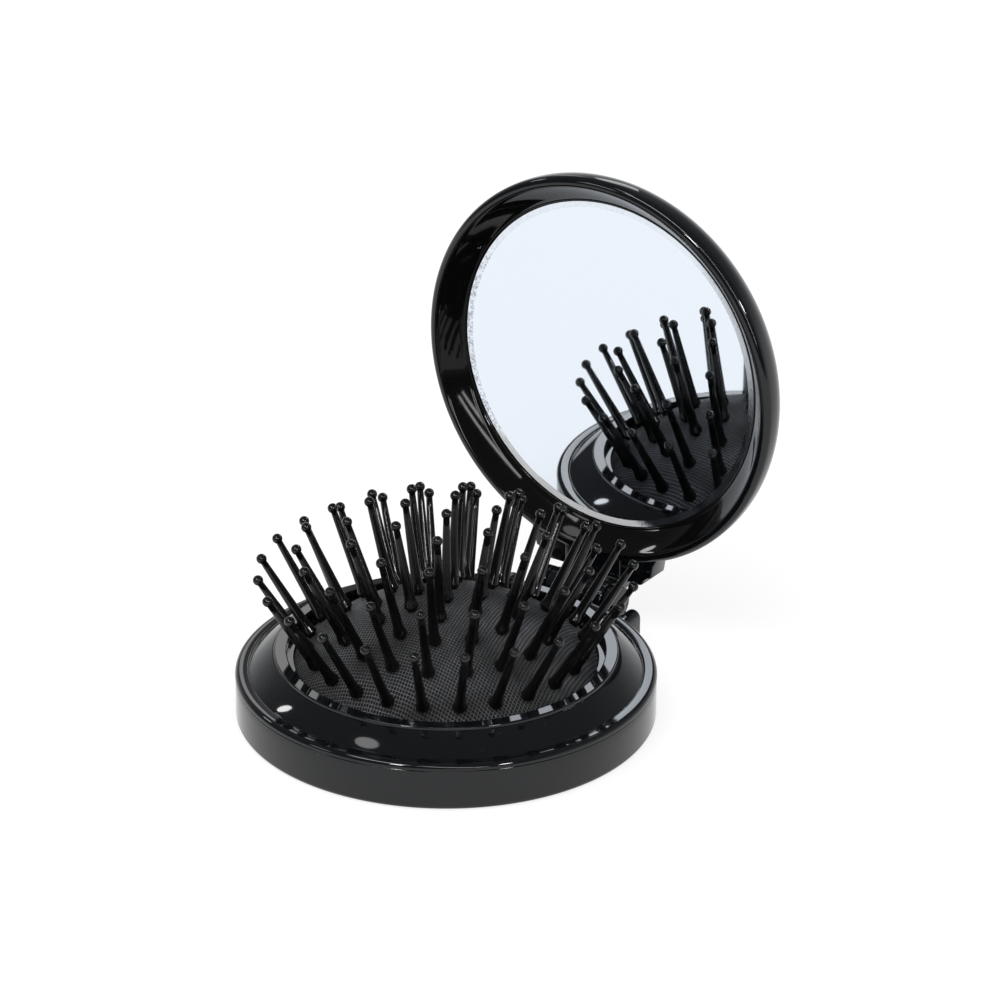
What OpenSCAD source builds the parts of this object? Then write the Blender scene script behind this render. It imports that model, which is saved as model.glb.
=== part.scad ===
// Round pocket hairbrush with a mirror in its folding lid, shown open with its pins up.
// Millimetres, +Z up. The origin is the centre of the base's underside, and the hinge is at +Y.
// The lid is drawn closed, as a cap over the base, and swing_open() stands it up on its hinge.

/* [Base] */
// Outer diameter of the base and of the lid
body_d = 66; // [65:0.5:70]
// Height of the base's side wall, up to the joint with the top ring
wall_h = 6.6; // [6.4:0.1:6.8]
// Thickness of the base's side wall
wall_t = 1.7; // [1.2:0.1:2]
// Height of the rounded band above the joint
band_rise = 1.1; // [0.9:0.1:1.2]
// Height of the inner lip of the top ring
lip_h = 10.9; // [10.7:0.1:11.1]
// Radius of the bore that the push cup slides in
bore_r = 25.2; // [25:0.05:25.4]
// How far the lip reaches in over the bore
lip_over = 0.3; // [0.15:0.05:0.4]

/* [Push cup] */
// Travel of the push cup from pins up to stowed
cup_travel = 7.5; // [6.5:0.1:7.5]
// Running clearance of the cup's bead in the bore
cup_clear = 0.12; // [0.05:0.01:0.2]
// Height of the cup's underside above the table
cup_recess = 0.3; // [0.2:0.1:0.4]
// Thickness of the cup's floor
cup_floor = 0.9; // [0.7:0.1:1]
// Thickness of the cup's wall
cup_wall = 0.7; // [0.6:0.1:1]

/* [Cushion] */
// Sphere radius of the rubber cushion's crown
pad_round = 33; // [32:0.5:36]
// Height of the cushion's crown above the table
pad_top = 19; // [18.8:0.1:19.6]
// Thickness of the rubber
pad_t = 1.1; // [0.9:0.1:1.2]
// Width of the skirt that stands in the cup
skirt_t = 1.2; // [1:0.1:1.4]

/* [Pins] */
// Length of a pin from the cushion to the centre of its ball
pin_len = 14.9; // [14:0.1:15]
// Radius of the ball on a pin's tip
ball_r = 0.82; // [0.7:0.02:0.9]
// Radius of a pin under its ball
pin_tip_r = 0.5; // [0.4:0.05:0.55]
// Radius of a pin above its foot
pin_root_r = 0.82; // [0.75:0.01:0.9]
// Radius of a pin's foot on the cushion
foot_r = 1.15; // [1:0.05:1.2]
// Radius of a pin's neck, inside the cushion
neck_r = 0.72; // [0.6:0.02:0.74]
// Radius of a pin's head, under the cushion
head_r = 1.4; // [1.2:0.1:1.5]
// Outermost feet to the edge of the cushion
pin_edge = 2.5; // [2.4:0.1:3]
// Turn of the whole pin field about the middle
pin_phase = -4; // [-7.5:0.5:7.5]

/* [Lid] */
// Height of the lid's rim above the table when it is shut
rim_z = 8.1; // [8.1:0.05:8.3]
// Depth of the mirror behind the lid's rim
mirror_depth = 3.9; // [3.9:0.1:4.3]
// Depth of the lid behind its rim, at the middle
lid_depth = 8.5; // [8.4:0.1:9.1]
// How much smaller the lid's radius is than the base's
lid_inset = 0.3; // [0:0.1:0.5]
// Rounding of the lid's front edge
lid_edge = 1.1; // [0.6:0.1:1.1]
// Wall thickness of the lid's shell
shell_t = 1.3; // [1:0.1:1.4]
// Corner radius of the lid's back
shell_round = 6; // [5:0.2:6]
// How far the glass's edge stands in from the lid's outside
glass_inset = 5.1; // [4.9:0.1:5.5]
// Thickness of the mirror glass
glass_t = 1.3; // [1:0.1:1.4]
// Width of the ground bevel round the glass
glass_bevel = 1; // [0.6:0.1:1.4]

/* [Hinge] */
// Distance of the hinge axis behind the middle of the base
hinge_y = 37.8; // [37.6:0.1:38.2]
// Height of the hinge axis above the table
hinge_z = 5.3; // [5.1:0.1:5.6]
// Radius of the lid's knuckle
knuckle_r = 3; // [2.8:0.1:3]
// Width of the lid's knuckle
knuckle_w = 10.8; // [10:0.2:11]
// Width of each ear of the base
ear_w = 1.9; // [1.6:0.1:2.2]
// Radius of the hinge pin
pin_r = 1; // [0.9:0.05:1.1]
// Running clearance of the hinge pin in the knuckle
pin_clear = 0.06; // [0.03:0.01:0.09]

/* [Hidden] */
$fn = 96;
R = body_d / 2;
band_z = wall_h + band_rise;
crease_r = R - 2.2;
lip_in = bore_r - lip_over;
lip_out = bore_r + 1.7;
collar_r = bore_r + 1.2;
cup_bead_r = bore_r - cup_clear;
cup_r = bore_r - 0.6;
cup_in = cup_r - cup_wall;
cup_top = 2 + cup_travel;
floor_z = cup_recess + cup_floor;
pad_r = cup_in - 0.1;
pad_z0 = pad_top - pad_round;
lid_r = R - lid_inset;
glass_r = lid_r - glass_inset;
rim_in = lid_r - 1.9;
cavity_r = lid_r - shell_t;
mirror_z = rim_z + mirror_depth;
lid_top = rim_z + lid_depth;
seat_z = mirror_z + glass_t + 0.4;
ear_x = knuckle_w / 2 + 0.2;
side_gap = 0.1;
// Each ring of pins: how many, where their feet stand on a field of this size, and how far they lean out
RINGS = [[1, 0, 0], [6, 5.7, 10], [12, 11, 18], [18, 16.5, 26.7], [24, 21.3, 32]];
feet_spread = (pad_r - pin_edge) / RINGS[4][1];

// Points on an arc, for rounding the corners of a profile
function arc(c, r, a0, a1, n = 5) =
    [for (i = [0:n]) let (a = a0 + (a1 - a0) * i / n) [c[0] + r * cos(a), c[1] + r * sin(a)]];

// Height of the cushion's surface at a distance from the middle
function pad_z(d) = pad_z0 + sqrt(pad_round * pad_round - d * d);

// Turns a shape about the hinge, from the shut lid to the standing one
module swing_open() {
    translate([0, hinge_y, hinge_z])
        rotate([-90, 0, 0])
            translate([0, -hinge_y, -hinge_z])
                children();
}

// A profile in the YZ plane, drawn out along X between x0 and x1
module along_x(x0, x1, points) {
    translate([x0, 0, 0])
        rotate([90, 0, 90])
            linear_extrude(x1 - x0)
                polygon(points);
}

// A round bar along X on the hinge axis
module hinge_bar(r, x0, x1) {
    translate([x0, hinge_y, hinge_z])
        rotate([0, 90, 0])
            cylinder(r = r, h = x1 - x0);
}

// The gap at the back of the base that lets the lid's knuckle swing
module knuckle_notch() {
    translate([-ear_x + 0.1, R - 3.1, wall_h - 1.7])
        cube([2 * ear_x - 0.2, 8, 8]);
}

// One ear of the hinge: an eye on a neck that grows out of the base's wall
module ear(x0) {
    along_x(x0, x0 + ear_w, [
        [R - 1.4, 0.9],
        [hinge_y - 2, 0.9],
        [hinge_y + 1.9, hinge_z - 2],
        [hinge_y, hinge_z],
        [hinge_y - 2.8, hinge_z - 0.4],
        [R - 1.4, hinge_z - 0.4],
    ]);
    hinge_bar(knuckle_r - 0.1, x0, x0 + ear_w);
}

// The shoulder beside the ears: a low saddle that rises to a rounded lug
module shoulder() {
    outline = concat(
        [[ear_x, 0.9], [13, 0.9]],
        arc([11.7, wall_h - 1.3], 1.3, 0, 130, 6),
        arc([9.3, wall_h + 0.8], 1.9, -45, -135, 5),
        [[ear_x, wall_h - 0.4]]
    );
    difference() {
        translate([0, R + 2.6, 0])
            rotate([90, 0, 0])
                linear_extrude(6.4)
                    polygon(outline);
        translate([0, 0, 0.5])
            cylinder(r = R - wall_t, h = 12);
    }
}

// Lower half of the base: side wall, floor ring, guide collar and the hinge ears
module base_shell() {
    profile = concat(
        [[bore_r - 0.45, 0], [R - 0.8, 0]],
        arc([R - 0.8, 0.8], 0.8, -90, 0, 4),
        [
            [R, wall_h],
            [R - wall_t, wall_h],
            [R - wall_t, 1.4],
            [collar_r, 1.4],
            [collar_r, 4.9],
            [bore_r, 4.9],
            [bore_r, 1],
            [bore_r - 0.45, 1],
        ]
    );
    color("#17181a")
    difference() {
        union() {
            rotate_extrude()
                polygon(profile);
            // ribs between the guide collar and the side wall
            for (a = [0:60:300])
                rotate([0, 0, a + 30])
                    translate([collar_r - 0.3, -0.5, 1])
                        cube([R - wall_t - collar_r + 0.6, 1, 2.6]);
            // block under the notch, so that it doesn't open into the hollow wall
            intersection() {
                translate([-ear_x - 1, R - 4.4, 1])
                    cube([2 * ear_x + 2, 4, wall_h - 3.3]);
                cylinder(r = R - 0.5, h = wall_h);
            }
            for (side = [0, 1])
                mirror([side, 0, 0]) {
                    ear(ear_x);
                    shoulder();
                }
        }
        knuckle_notch();
        hinge_bar(pin_r + 0.02, -ear_x - ear_w - 1, ear_x + ear_w + 1);
    }
}

// Outline of the top ring's outer surface, from the joint up over the band to the lip
function bezel_top() = concat(
    [[R, wall_h + 0.05]],
    arc([R - 0.8, band_z - 0.8], 0.8, 0, 90, 5),
    [[crease_r + 0.2, band_z], [crease_r + 0.05, band_z - 0.15], [crease_r - 0.1, band_z - 0.12]],
    [[lip_out + 0.3, lip_h - 0.5], [lip_out + 0.05, lip_h - 0.45]],
    arc([lip_out - 0.25, lip_h - 0.25], 0.25, 0, 90, 4),
    arc([lip_in + 0.15, lip_h - 0.15], 0.15, 90, 180, 4)
);

// Top ring of the base: rounded band, sloped face and the lip over the bore
module base_bezel() {
    ring = concat(bezel_top(), [
        [lip_in, cup_top + 0.3],
        [bore_r, cup_top + 0.2],
        [bore_r, 5],
        [collar_r, 5],
        [collar_r, lip_h - 1.9],
        [R - 3.1, wall_h - 0.2],
        [R - 3.1, 4.6],
        [R - wall_t - 0.15, 4.6],
        [R - wall_t - 0.15, wall_h + 0.05],
    ]);
    inner = R - wall_t - 0.15;
    solid = concat(bezel_top(), [[lip_in, 4.6], [inner, 4.6], [inner, wall_h + 0.05]]);
    color("#1b1c1f")
    difference() {
        union() {
            rotate_extrude()
                polygon(ring);
            // walls round the notch for the lid's knuckle
            intersection() {
                translate([-ear_x - 1, R - 4.4, 4.6])
                    cube([2 * ear_x + 2, 4, 6]);
                rotate_extrude()
                    polygon(solid);
            }
        }
        knuckle_notch();
    }
}

// The cup that the user pushes up from below to raise the pins
module push_cup() {
    color("#141517")
    rotate_extrude()
        polygon(concat(
            [[0, cup_recess], [cup_r - 0.8, cup_recess]],
            arc([cup_r - 0.8, cup_recess + 0.8], 0.8, -90, 0, 4),
            [
                [cup_r, cup_top - 0.85],
                [cup_bead_r - 0.15, cup_top - 0.75],
                [cup_bead_r, cup_top - 0.6],
                [cup_bead_r, cup_top - 0.15],
                [cup_bead_r - 0.15, cup_top],
                [cup_in, cup_top],
                [cup_in, floor_z],
                [0, floor_z],
            ]
        ));
}

// Places a pin of a ring, with its foot on the cushion and its tip leaning out
module on_ring(ring, k) {
    spec = RINGS[ring];
    foot_at = spec[1] * feet_spread;
    rotate([0, 0, pin_phase + 360 / spec[0] * k])
        translate([foot_at, 0, pad_z(foot_at)])
            rotate([0, spec[2], 0])
                children();
}

// Air cushion: a domed rubber cap on a skirt, with a hole for each pin
module cushion_pad() {
    edge_z = pad_z(pad_r) - 0.6;
    color("#26282b")
    difference() {
        union() {
            intersection() {
                translate([0, 0, pad_z0])
                    sphere(r = pad_round);
                translate([0, 0, edge_z])
                    cylinder(r = pad_r, h = pad_round);
            }
            translate([0, 0, floor_z + 0.1])
                cylinder(r = pad_r, h = edge_z - floor_z + 0.4);
        }
        intersection() {
            translate([0, 0, pad_z0])
                sphere(r = pad_round - pad_t);
            translate([0, 0, floor_z])
                cylinder(r = pad_r - skirt_t, h = pad_round);
        }
        for (ring = [0:4], k = [0:RINGS[ring][0] - 1])
            on_ring(ring, k)
                translate([0, 0, -3])
                    cylinder(r = neck_r + 0.1, h = 5, $fn = 24);
    }
}

// One pin: head under the cushion, neck through it, flared foot, tapered shaft and ball tip
module pin() {
    rotate_extrude($fn = 32)
        polygon([
            [0, -pad_t - 0.65],
            [head_r, -pad_t - 0.65],
            [head_r, -pad_t - 0.2],
            [neck_r, -pad_t - 0.2],
            [neck_r, 0.45],
            [foot_r, 0.45],
            [foot_r - 0.03, 0.8],
            [pin_root_r, 2.2],
            [pin_tip_r, pin_len],
            [0, pin_len],
        ]);
    translate([0, 0, pin_len])
        sphere(r = ball_r, $fn = 32);
}

// A whole ring of pins
module pin_ring(ring) {
    color("#1d1e20")
    for (k = [0:RINGS[ring][0] - 1])
        on_ring(ring, k)
            pin();
}

// Two neighbouring pins of a ring, which lean in together when the cushion goes flat
module pin_pair(ring, pair) {
    color("#1d1e20")
    for (k = [0, 1])
        on_ring(ring, 2 * pair + k)
            pin();
}

module pin_centre() { pin_ring(0); }
module pins_ring_1() { pin_ring(1); }
module pins_ring_2() { pin_ring(2); }
module pins_ring_3_01() { pin_pair(3, 0); }
module pins_ring_3_02() { pin_pair(3, 1); }
module pins_ring_3_03() { pin_pair(3, 2); }
module pins_ring_3_04() { pin_pair(3, 3); }
module pins_ring_3_05() { pin_pair(3, 4); }
module pins_ring_3_06() { pin_pair(3, 5); }
module pins_ring_3_07() { pin_pair(3, 6); }
module pins_ring_3_08() { pin_pair(3, 7); }
module pins_ring_3_09() { pin_pair(3, 8); }
module pins_ring_4_01() { pin_pair(4, 0); }
module pins_ring_4_02() { pin_pair(4, 1); }
module pins_ring_4_03() { pin_pair(4, 2); }
module pins_ring_4_04() { pin_pair(4, 3); }
module pins_ring_4_05() { pin_pair(4, 4); }
module pins_ring_4_06() { pin_pair(4, 5); }
module pins_ring_4_07() { pin_pair(4, 6); }
module pins_ring_4_08() { pin_pair(4, 7); }
module pins_ring_4_09() { pin_pair(4, 8); }
module pins_ring_4_10() { pin_pair(4, 9); }
module pins_ring_4_11() { pin_pair(4, 10); }
module pins_ring_4_12() { pin_pair(4, 11); }

// Steel pin through the ears and the knuckle
module hinge_pin() {
    half = ear_x + ear_w - 0.2;
    color("silver")
    hinge_bar(pin_r, -half, half);
}

// Outside of the lid's shell: a flat cap with a rounded edge and a slightly crowned back
module lid_outside() {
    rotate_extrude()
        polygon(concat(
            [[0, rim_z], [lid_r - lid_edge, rim_z]],
            arc([lid_r - lid_edge, rim_z + lid_edge], lid_edge, -90, 0, 4),
            arc([lid_r - shell_round, lid_top - 0.8 - shell_round], shell_round, 0, 84, 8),
            [[lid_r * 0.6, lid_top - 0.25], [lid_r * 0.3, lid_top - 0.05], [0, lid_top]]
        ));
}

// Hollow of the lid's shell, which the mirror's frame fills
module lid_hollow() {
    r = shell_round - shell_t;
    rotate_extrude()
        polygon(concat(
            [[0, rim_z - 1], [cavity_r, rim_z - 1]],
            arc([cavity_r - r, lid_top - 0.8 - shell_round], r, 0, 84, 5),
            [[lid_r * 0.6, lid_top - 0.25 - shell_t], [0, lid_top - shell_t]]
        ));
}

// The lid's arm: a flared bracket on the rim, with the knuckle in its middle
module lid_arm() {
    back = hinge_y - 2.5;
    translate([0, 0, rim_z + 0.4])
        linear_extrude(4)
            polygon(concat(
                [[-12.2, R - 2.9], [-11.6, R - 1.7]],
                arc([-11.6, back + 0.4], 2.2, -80, -15, 4),
                [[-9, back], [9, back]],
                arc([11.6, back + 0.4], 2.2, 195, 260, 4),
                [[11.6, R - 1.7], [12.2, R - 2.9]]
            ));
    along_x(-knuckle_w / 2, knuckle_w / 2, [
        [R - 1.5, rim_z + 0.1],
        [hinge_y - 2.5, rim_z + 0.1],
        [hinge_y - 2.3, hinge_z],
        [hinge_y, hinge_z],
        [hinge_y + 1.8, hinge_z + 2.2],
        [hinge_y - 0.8, rim_z + 3.6],
        [R - 1.5, rim_z + 4.2],
    ]);
    hinge_bar(knuckle_r, -knuckle_w / 2, knuckle_w / 2);
}

// Outer shell of the lid, with its arm and knuckle
module lid_shell() {
    color("#18191b")
    swing_open()
        difference() {
            union() {
                lid_outside();
                lid_arm();
            }
            lid_hollow();
            hinge_bar(pin_r + pin_clear, -knuckle_w, knuckle_w);
        }
}

// Frame inside the lid: rim lip, sloped wall, bead round the glass and the glass's seat
module mirror_frame() {
    out = cavity_r - side_gap;
    in_r = shell_round - shell_t;
    color("#202124")
    swing_open()
        rotate_extrude()
            polygon(concat(
                [[0, seat_z], [glass_r + 0.1, seat_z], [glass_r + 0.1, mirror_z - 0.25]],
                arc([glass_r + 0.5, mirror_z - 0.35], 0.4, 150, 320, 4),
                [[glass_r + 1.1, mirror_z - 0.95]],
                arc([rim_in + 0.35, rim_z + 0.35], 0.35, 200, 270, 3),
                [[out - 0.15, rim_z], [out, rim_z + 0.15]],
                arc([cavity_r - in_r, lid_top - 0.8 - shell_round], in_r - 0.3, 0, 68, 5),
                [[glass_r - 3, seat_z + 0.6], [0, seat_z + 0.6]]
            ));
}

// Adhesive tape that holds the glass in its seat
module mirror_tape() {
    color("#d8d8d4")
    swing_open()
        translate([0, 0, mirror_z + glass_t + 0.03])
            cylinder(r = glass_r - 1, h = 0.34);
}

// Round mirror with a ground bevel on its front edge
module mirror_glass() {
    color("#cfdbe6")
    swing_open()
        rotate_extrude()
            polygon([
                [0, mirror_z],
                [glass_r - glass_bevel, mirror_z],
                [glass_r, mirror_z + 0.35],
                [glass_r, mirror_z + glass_t],
                [0, mirror_z + glass_t],
            ]);
}

base_shell();
base_bezel();
push_cup();
cushion_pad();
pin_centre();
pins_ring_1();
pins_ring_2();
pins_ring_3_01();
pins_ring_3_02();
pins_ring_3_03();
pins_ring_3_04();
pins_ring_3_05();
pins_ring_3_06();
pins_ring_3_07();
pins_ring_3_08();
pins_ring_3_09();
pins_ring_4_01();
pins_ring_4_02();
pins_ring_4_03();
pins_ring_4_04();
pins_ring_4_05();
pins_ring_4_06();
pins_ring_4_07();
pins_ring_4_08();
pins_ring_4_09();
pins_ring_4_10();
pins_ring_4_11();
pins_ring_4_12();
hinge_pin();
lid_shell();
mirror_frame();
mirror_tape();
mirror_glass();
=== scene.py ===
"""Dresses the folding pocket hairbrush with a mirror in its lid.

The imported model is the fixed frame. Each sub-assembly is a class that models its own pieces and
lays its finishes on them: the base housing, the push cup with its air cushion, the field of
ball-tipped pins, and the lid with its mirror. Sizes are in millimetres until they reach Blender.
"""

from __future__ import annotations

import logging
import math
from dataclasses import dataclass, field
from enum import Enum
from typing import Callable, Iterable, Sequence

import bmesh
import bpy
from mathutils import Matrix, Vector

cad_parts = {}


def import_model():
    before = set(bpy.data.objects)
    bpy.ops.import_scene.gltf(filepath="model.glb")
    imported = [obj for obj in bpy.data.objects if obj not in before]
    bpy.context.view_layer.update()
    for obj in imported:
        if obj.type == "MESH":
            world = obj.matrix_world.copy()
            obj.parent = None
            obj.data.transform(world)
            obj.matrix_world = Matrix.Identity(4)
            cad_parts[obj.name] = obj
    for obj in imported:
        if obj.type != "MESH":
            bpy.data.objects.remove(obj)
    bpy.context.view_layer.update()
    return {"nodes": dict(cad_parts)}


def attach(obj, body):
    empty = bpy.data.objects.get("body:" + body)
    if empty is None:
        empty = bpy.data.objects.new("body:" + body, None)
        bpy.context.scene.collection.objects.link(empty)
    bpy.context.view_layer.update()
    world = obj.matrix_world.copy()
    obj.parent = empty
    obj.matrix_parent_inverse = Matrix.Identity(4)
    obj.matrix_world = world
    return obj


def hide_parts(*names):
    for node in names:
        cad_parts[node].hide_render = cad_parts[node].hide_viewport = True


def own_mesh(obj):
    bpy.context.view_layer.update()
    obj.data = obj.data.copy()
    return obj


LOG = logging.getLogger("hairbrush")
MM = 0.001
SAME_SPOT = 1e-7
POLE_INSET = 0.35
AIM_HEIGHT = 0.02
Point = tuple[float, float]
Colour = tuple[float, float, float]
Stops = tuple[tuple[float, float], ...]


class Body(Enum):
    """The bodies that move on their own."""

    BASE = "base"
    CUP = "cup"
    LID = "lid"
    CENTRE = "centre_pin"
    RING_1 = "ring_1"
    RING_2 = "ring_2"


class Slot(Enum):
    """The material slots that the pieces modelled here belong to."""

    SHELL = "shell_plastic"
    PIN = "pin_plastic"
    CUSHION = "cushion_rubber"
    SILVER = "mirror_silver"


class Plane(Enum):
    """The plane that a flat outline is drawn on before it is given its thickness."""

    XY = "xy"
    XZ = "xz"
    YZ = "yz"


# ---------------------------------------------------------------------------------------------
# Modelling bench
# ---------------------------------------------------------------------------------------------


def arc(centre: Point, radius: float, start: float, end: float, steps: int = 8) -> list[Point]:
    """Points on an arc, for rounding a corner of a profile.

    Args:
        centre: Centre of the arc.
        radius: Its radius.
        start: First angle in degrees.
        end: Last angle in degrees.
        steps: Number of chords.

    Returns:
        The points from the first angle to the last.
    """
    points = []
    for i in range(steps + 1):
        angle = math.radians(start + (end - start) * i / steps)
        points.append((centre[0] + radius * math.cos(angle), centre[1] + radius * math.sin(angle)))
    return points


def bearing(azimuth: float, elevation: float) -> Vector:
    """Gives the direction from the object to a viewer or a lamp.

    Args:
        azimuth: Degrees round the object, from the front to the right.
        elevation: Degrees above the table.

    Returns:
        The direction, of length 1.
    """
    az, el = math.radians(azimuth), math.radians(elevation)
    return Vector((math.sin(az) * math.cos(el), -math.cos(az) * math.cos(el), math.sin(el)))


def make_node(
    tree: bpy.types.NodeTree, kind: str, feeds: dict[str | int, object], **settings: object
) -> bpy.types.Node:
    """Adds a node, sets its properties and feeds its inputs.

    Args:
        tree: The node tree to work in.
        kind: The node's type.
        feeds: A socket to link or a plain value, for each input by its name or number.
        **settings: Properties of the node.

    Returns:
        The node.
    """
    made = tree.nodes.new(kind)
    for key, value in settings.items():
        setattr(made, key, value)
    for key, value in feeds.items():
        if isinstance(value, bpy.types.NodeSocket):
            tree.links.new(value, made.inputs[key])
        else:
            made.inputs[key].default_value = value
    return made


class Bench:
    """Shapes meshes with Blender's own operators, as a modeller does by hand."""

    @staticmethod
    def clear() -> None:
        """Leaves object mode on and nothing selected."""
        if bpy.context.mode != "OBJECT":
            bpy.ops.object.mode_set(mode="OBJECT")
        bpy.ops.object.select_all(action="DESELECT")

    @staticmethod
    def pick(obj: bpy.types.Object) -> None:
        """Makes one object the only selected and active one."""
        Bench.clear()
        obj.select_set(True)
        bpy.context.view_layer.objects.active = obj

    @staticmethod
    def christen(name: str) -> bpy.types.Object:
        """Names the object that a primitive has just made.

        Args:
            name: The piece's name.

        Returns:
            The active object.
        """
        obj = bpy.context.active_object
        obj.name = name
        obj.data.name = name
        return obj

    @staticmethod
    def turn(
        name: str,
        profile: Sequence[Point],
        steps: int = 160,
        closed: bool = True,
        cap_start: bool = False,
        cap_end: bool = False,
    ) -> bpy.types.Object:
        """Turns a profile about Z: a circle is drawn on and out from loop to loop.

        Args:
            name: The piece's name.
            profile: Radius and height of each loop, in millimetres.
            steps: Vertices round each loop.
            closed: Whether the last loop runs back into the first.
            cap_start: Whether the first loop is closed to a point on the axis.
            cap_end: Whether the last loop is closed to a point on the axis.

        Returns:
            The turned piece, with its faces outwards.
        """
        Bench.clear()
        radius, height = profile[0]
        bpy.ops.mesh.primitive_circle_add(
            vertices=steps, radius=radius * MM, fill_type="NOTHING", location=(0, 0, height * MM)
        )
        obj = Bench.christen(name)
        bpy.ops.object.mode_set(mode="EDIT")
        bpy.ops.mesh.select_all(action="SELECT")
        route = list(profile) + ([profile[0]] if closed else [])
        for (r_from, z_from), (r_to, z_to) in zip(route, route[1:]):
            bpy.ops.mesh.extrude_region_move(
                TRANSFORM_OT_translate={"value": (0, 0, (z_to - z_from) * MM)}
            )
            grow = r_to / r_from
            if abs(grow - 1) > 1e-9:
                bpy.ops.transform.resize(value=(grow, grow, 1), center_override=(0, 0, 0))
        if cap_end:
            Bench.close_pole()
        if cap_start:
            Bench.select_rims()
            bpy.ops.mesh.select_mode(type="VERT")
            Bench.close_pole()
        bpy.ops.mesh.select_all(action="SELECT")
        bpy.ops.mesh.remove_doubles(threshold=SAME_SPOT)
        Bench.face_out(obj)
        bpy.ops.object.mode_set(mode="OBJECT")
        bpy.ops.object.transform_apply(location=True, rotation=True, scale=True)
        return obj

    @staticmethod
    def select_rims() -> None:
        """Selects the open rims of the piece in edit mode, and nothing else."""
        bpy.ops.mesh.select_all(action="DESELECT")
        bpy.ops.mesh.select_mode(type="EDGE")
        bpy.ops.mesh.select_non_manifold(
            extend=False, use_wire=False, use_boundary=True, use_multi_face=False,
            use_non_contiguous=False, use_verts=False,
        )

    @staticmethod
    def face_out(obj: bpy.types.Object) -> None:
        """Turns every face outwards, also on a ring whose folds fool the plain recalculation.

        Args:
            obj: The closed piece, in edit mode.
        """
        bpy.ops.mesh.select_all(action="SELECT")
        bpy.ops.mesh.normals_make_consistent(inside=False)
        if bmesh.from_edit_mesh(obj.data).calc_volume(signed=True) < 0:
            bpy.ops.mesh.flip_normals()

    @staticmethod
    def close_pole() -> None:
        """Closes the selected loop to its centre, with one ring of faces before the point."""
        bpy.ops.mesh.extrude_region_move(TRANSFORM_OT_translate={"value": (0, 0, 0)})
        bpy.ops.transform.resize(value=(POLE_INSET, POLE_INSET, 1), center_override=(0, 0, 0))
        bpy.ops.mesh.extrude_region_move(TRANSFORM_OT_translate={"value": (0, 0, 0)})
        bpy.ops.mesh.merge(type="CENTER")

    @staticmethod
    def slab(
        name: str, corners: Sequence[Point], plane: Plane, near: float, far: float, soften: float
    ) -> bpy.types.Object:
        """Gives a flat outline its thickness and softens its edges.

        Args:
            name: The piece's name.
            corners: The outline on its plane, in millimetres.
            plane: The plane of the outline.
            near: Where the thickness starts along the plane's normal.
            far: Where it ends.
            soften: Width of the rounding on every sharp edge.

        Returns:
            The finished slab.
        """
        Bench.clear()
        bpy.ops.mesh.primitive_circle_add(
            vertices=len(corners), radius=MM, fill_type="NGON", location=(0, 0, 0)
        )
        obj = Bench.christen(name)
        lay: dict[Plane, Callable[[float, float], Vector]] = {
            Plane.XY: lambda a, b: Vector((a, b, near)),
            Plane.XZ: lambda a, b: Vector((a, near, b)),
            Plane.YZ: lambda a, b: Vector((near, a, b)),
        }
        along = {Plane.XY: (0, 0, 1), Plane.XZ: (0, 1, 0), Plane.YZ: (1, 0, 0)}[plane]
        for vertex, corner in zip(obj.data.vertices, corners):
            vertex.co = lay[plane](*corner) * MM
        bpy.ops.object.mode_set(mode="EDIT")
        bpy.ops.mesh.select_all(action="SELECT")
        bpy.ops.mesh.extrude_region_move(
            TRANSFORM_OT_translate={"value": tuple(c * (far - near) * MM for c in along)}
        )
        Bench.face_out(obj)
        bpy.ops.object.mode_set(mode="OBJECT")
        Bench.soften(obj, soften)
        return obj

    @staticmethod
    def soften(obj: bpy.types.Object, width: float, segments: int = 3, angle: float = 28) -> None:
        """Rounds the sharp edges of a piece.

        Args:
            obj: The piece.
            width: Width of the rounding in millimetres.
            segments: Faces across it.
            angle: Edges sharper than this many degrees are rounded.
        """
        Bench.pick(obj)
        bpy.ops.object.modifier_add(type="BEVEL")
        bevel = obj.modifiers[-1]
        bevel.width = width * MM
        bevel.segments = segments
        bevel.limit_method = "ANGLE"
        bevel.angle_limit = math.radians(angle)
        bevel.use_clamp_overlap = True
        bpy.ops.object.modifier_apply(modifier=bevel.name)

    @staticmethod
    def cut(obj: bpy.types.Object, low: Sequence[float], high: Sequence[float]) -> None:
        """Cuts a box-shaped notch out of a piece.

        Args:
            obj: The piece.
            low: Lowest corner of the notch in millimetres.
            high: Its highest corner.
        """
        Bench.clear()
        middle = [(a + b) / 2 * MM for a, b in zip(low, high)]
        bpy.ops.mesh.primitive_cube_add(size=1, location=middle)
        cutter = Bench.christen("notch_cutter")
        cutter.scale = [(b - a) * MM for a, b in zip(low, high)]
        bpy.ops.object.transform_apply(location=True, rotation=True, scale=True)
        Bench.pick(obj)
        bpy.ops.object.modifier_add(type="BOOLEAN")
        notch = obj.modifiers[-1]
        notch.operation = "DIFFERENCE"
        notch.solver = "FAST"
        notch.object = cutter
        bpy.ops.object.modifier_apply(modifier=notch.name)
        bpy.data.meshes.remove(cutter.data)

    @staticmethod
    def settle(obj: bpy.types.Object, place: Matrix | None = None, angle: float = 30) -> None:
        """Moves a piece to its place inside its own mesh and smooths its shading.

        Args:
            obj: The piece.
            place: Where it goes, or None where it was modelled in place.
            angle: Edges sharper than this many degrees stay crisp.
        """
        Bench.pick(obj)
        if place is not None:
            obj.matrix_world = place
            bpy.ops.object.transform_apply(location=True, rotation=True, scale=True)
        bpy.ops.object.shade_smooth_by_angle(angle=math.radians(angle))

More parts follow.
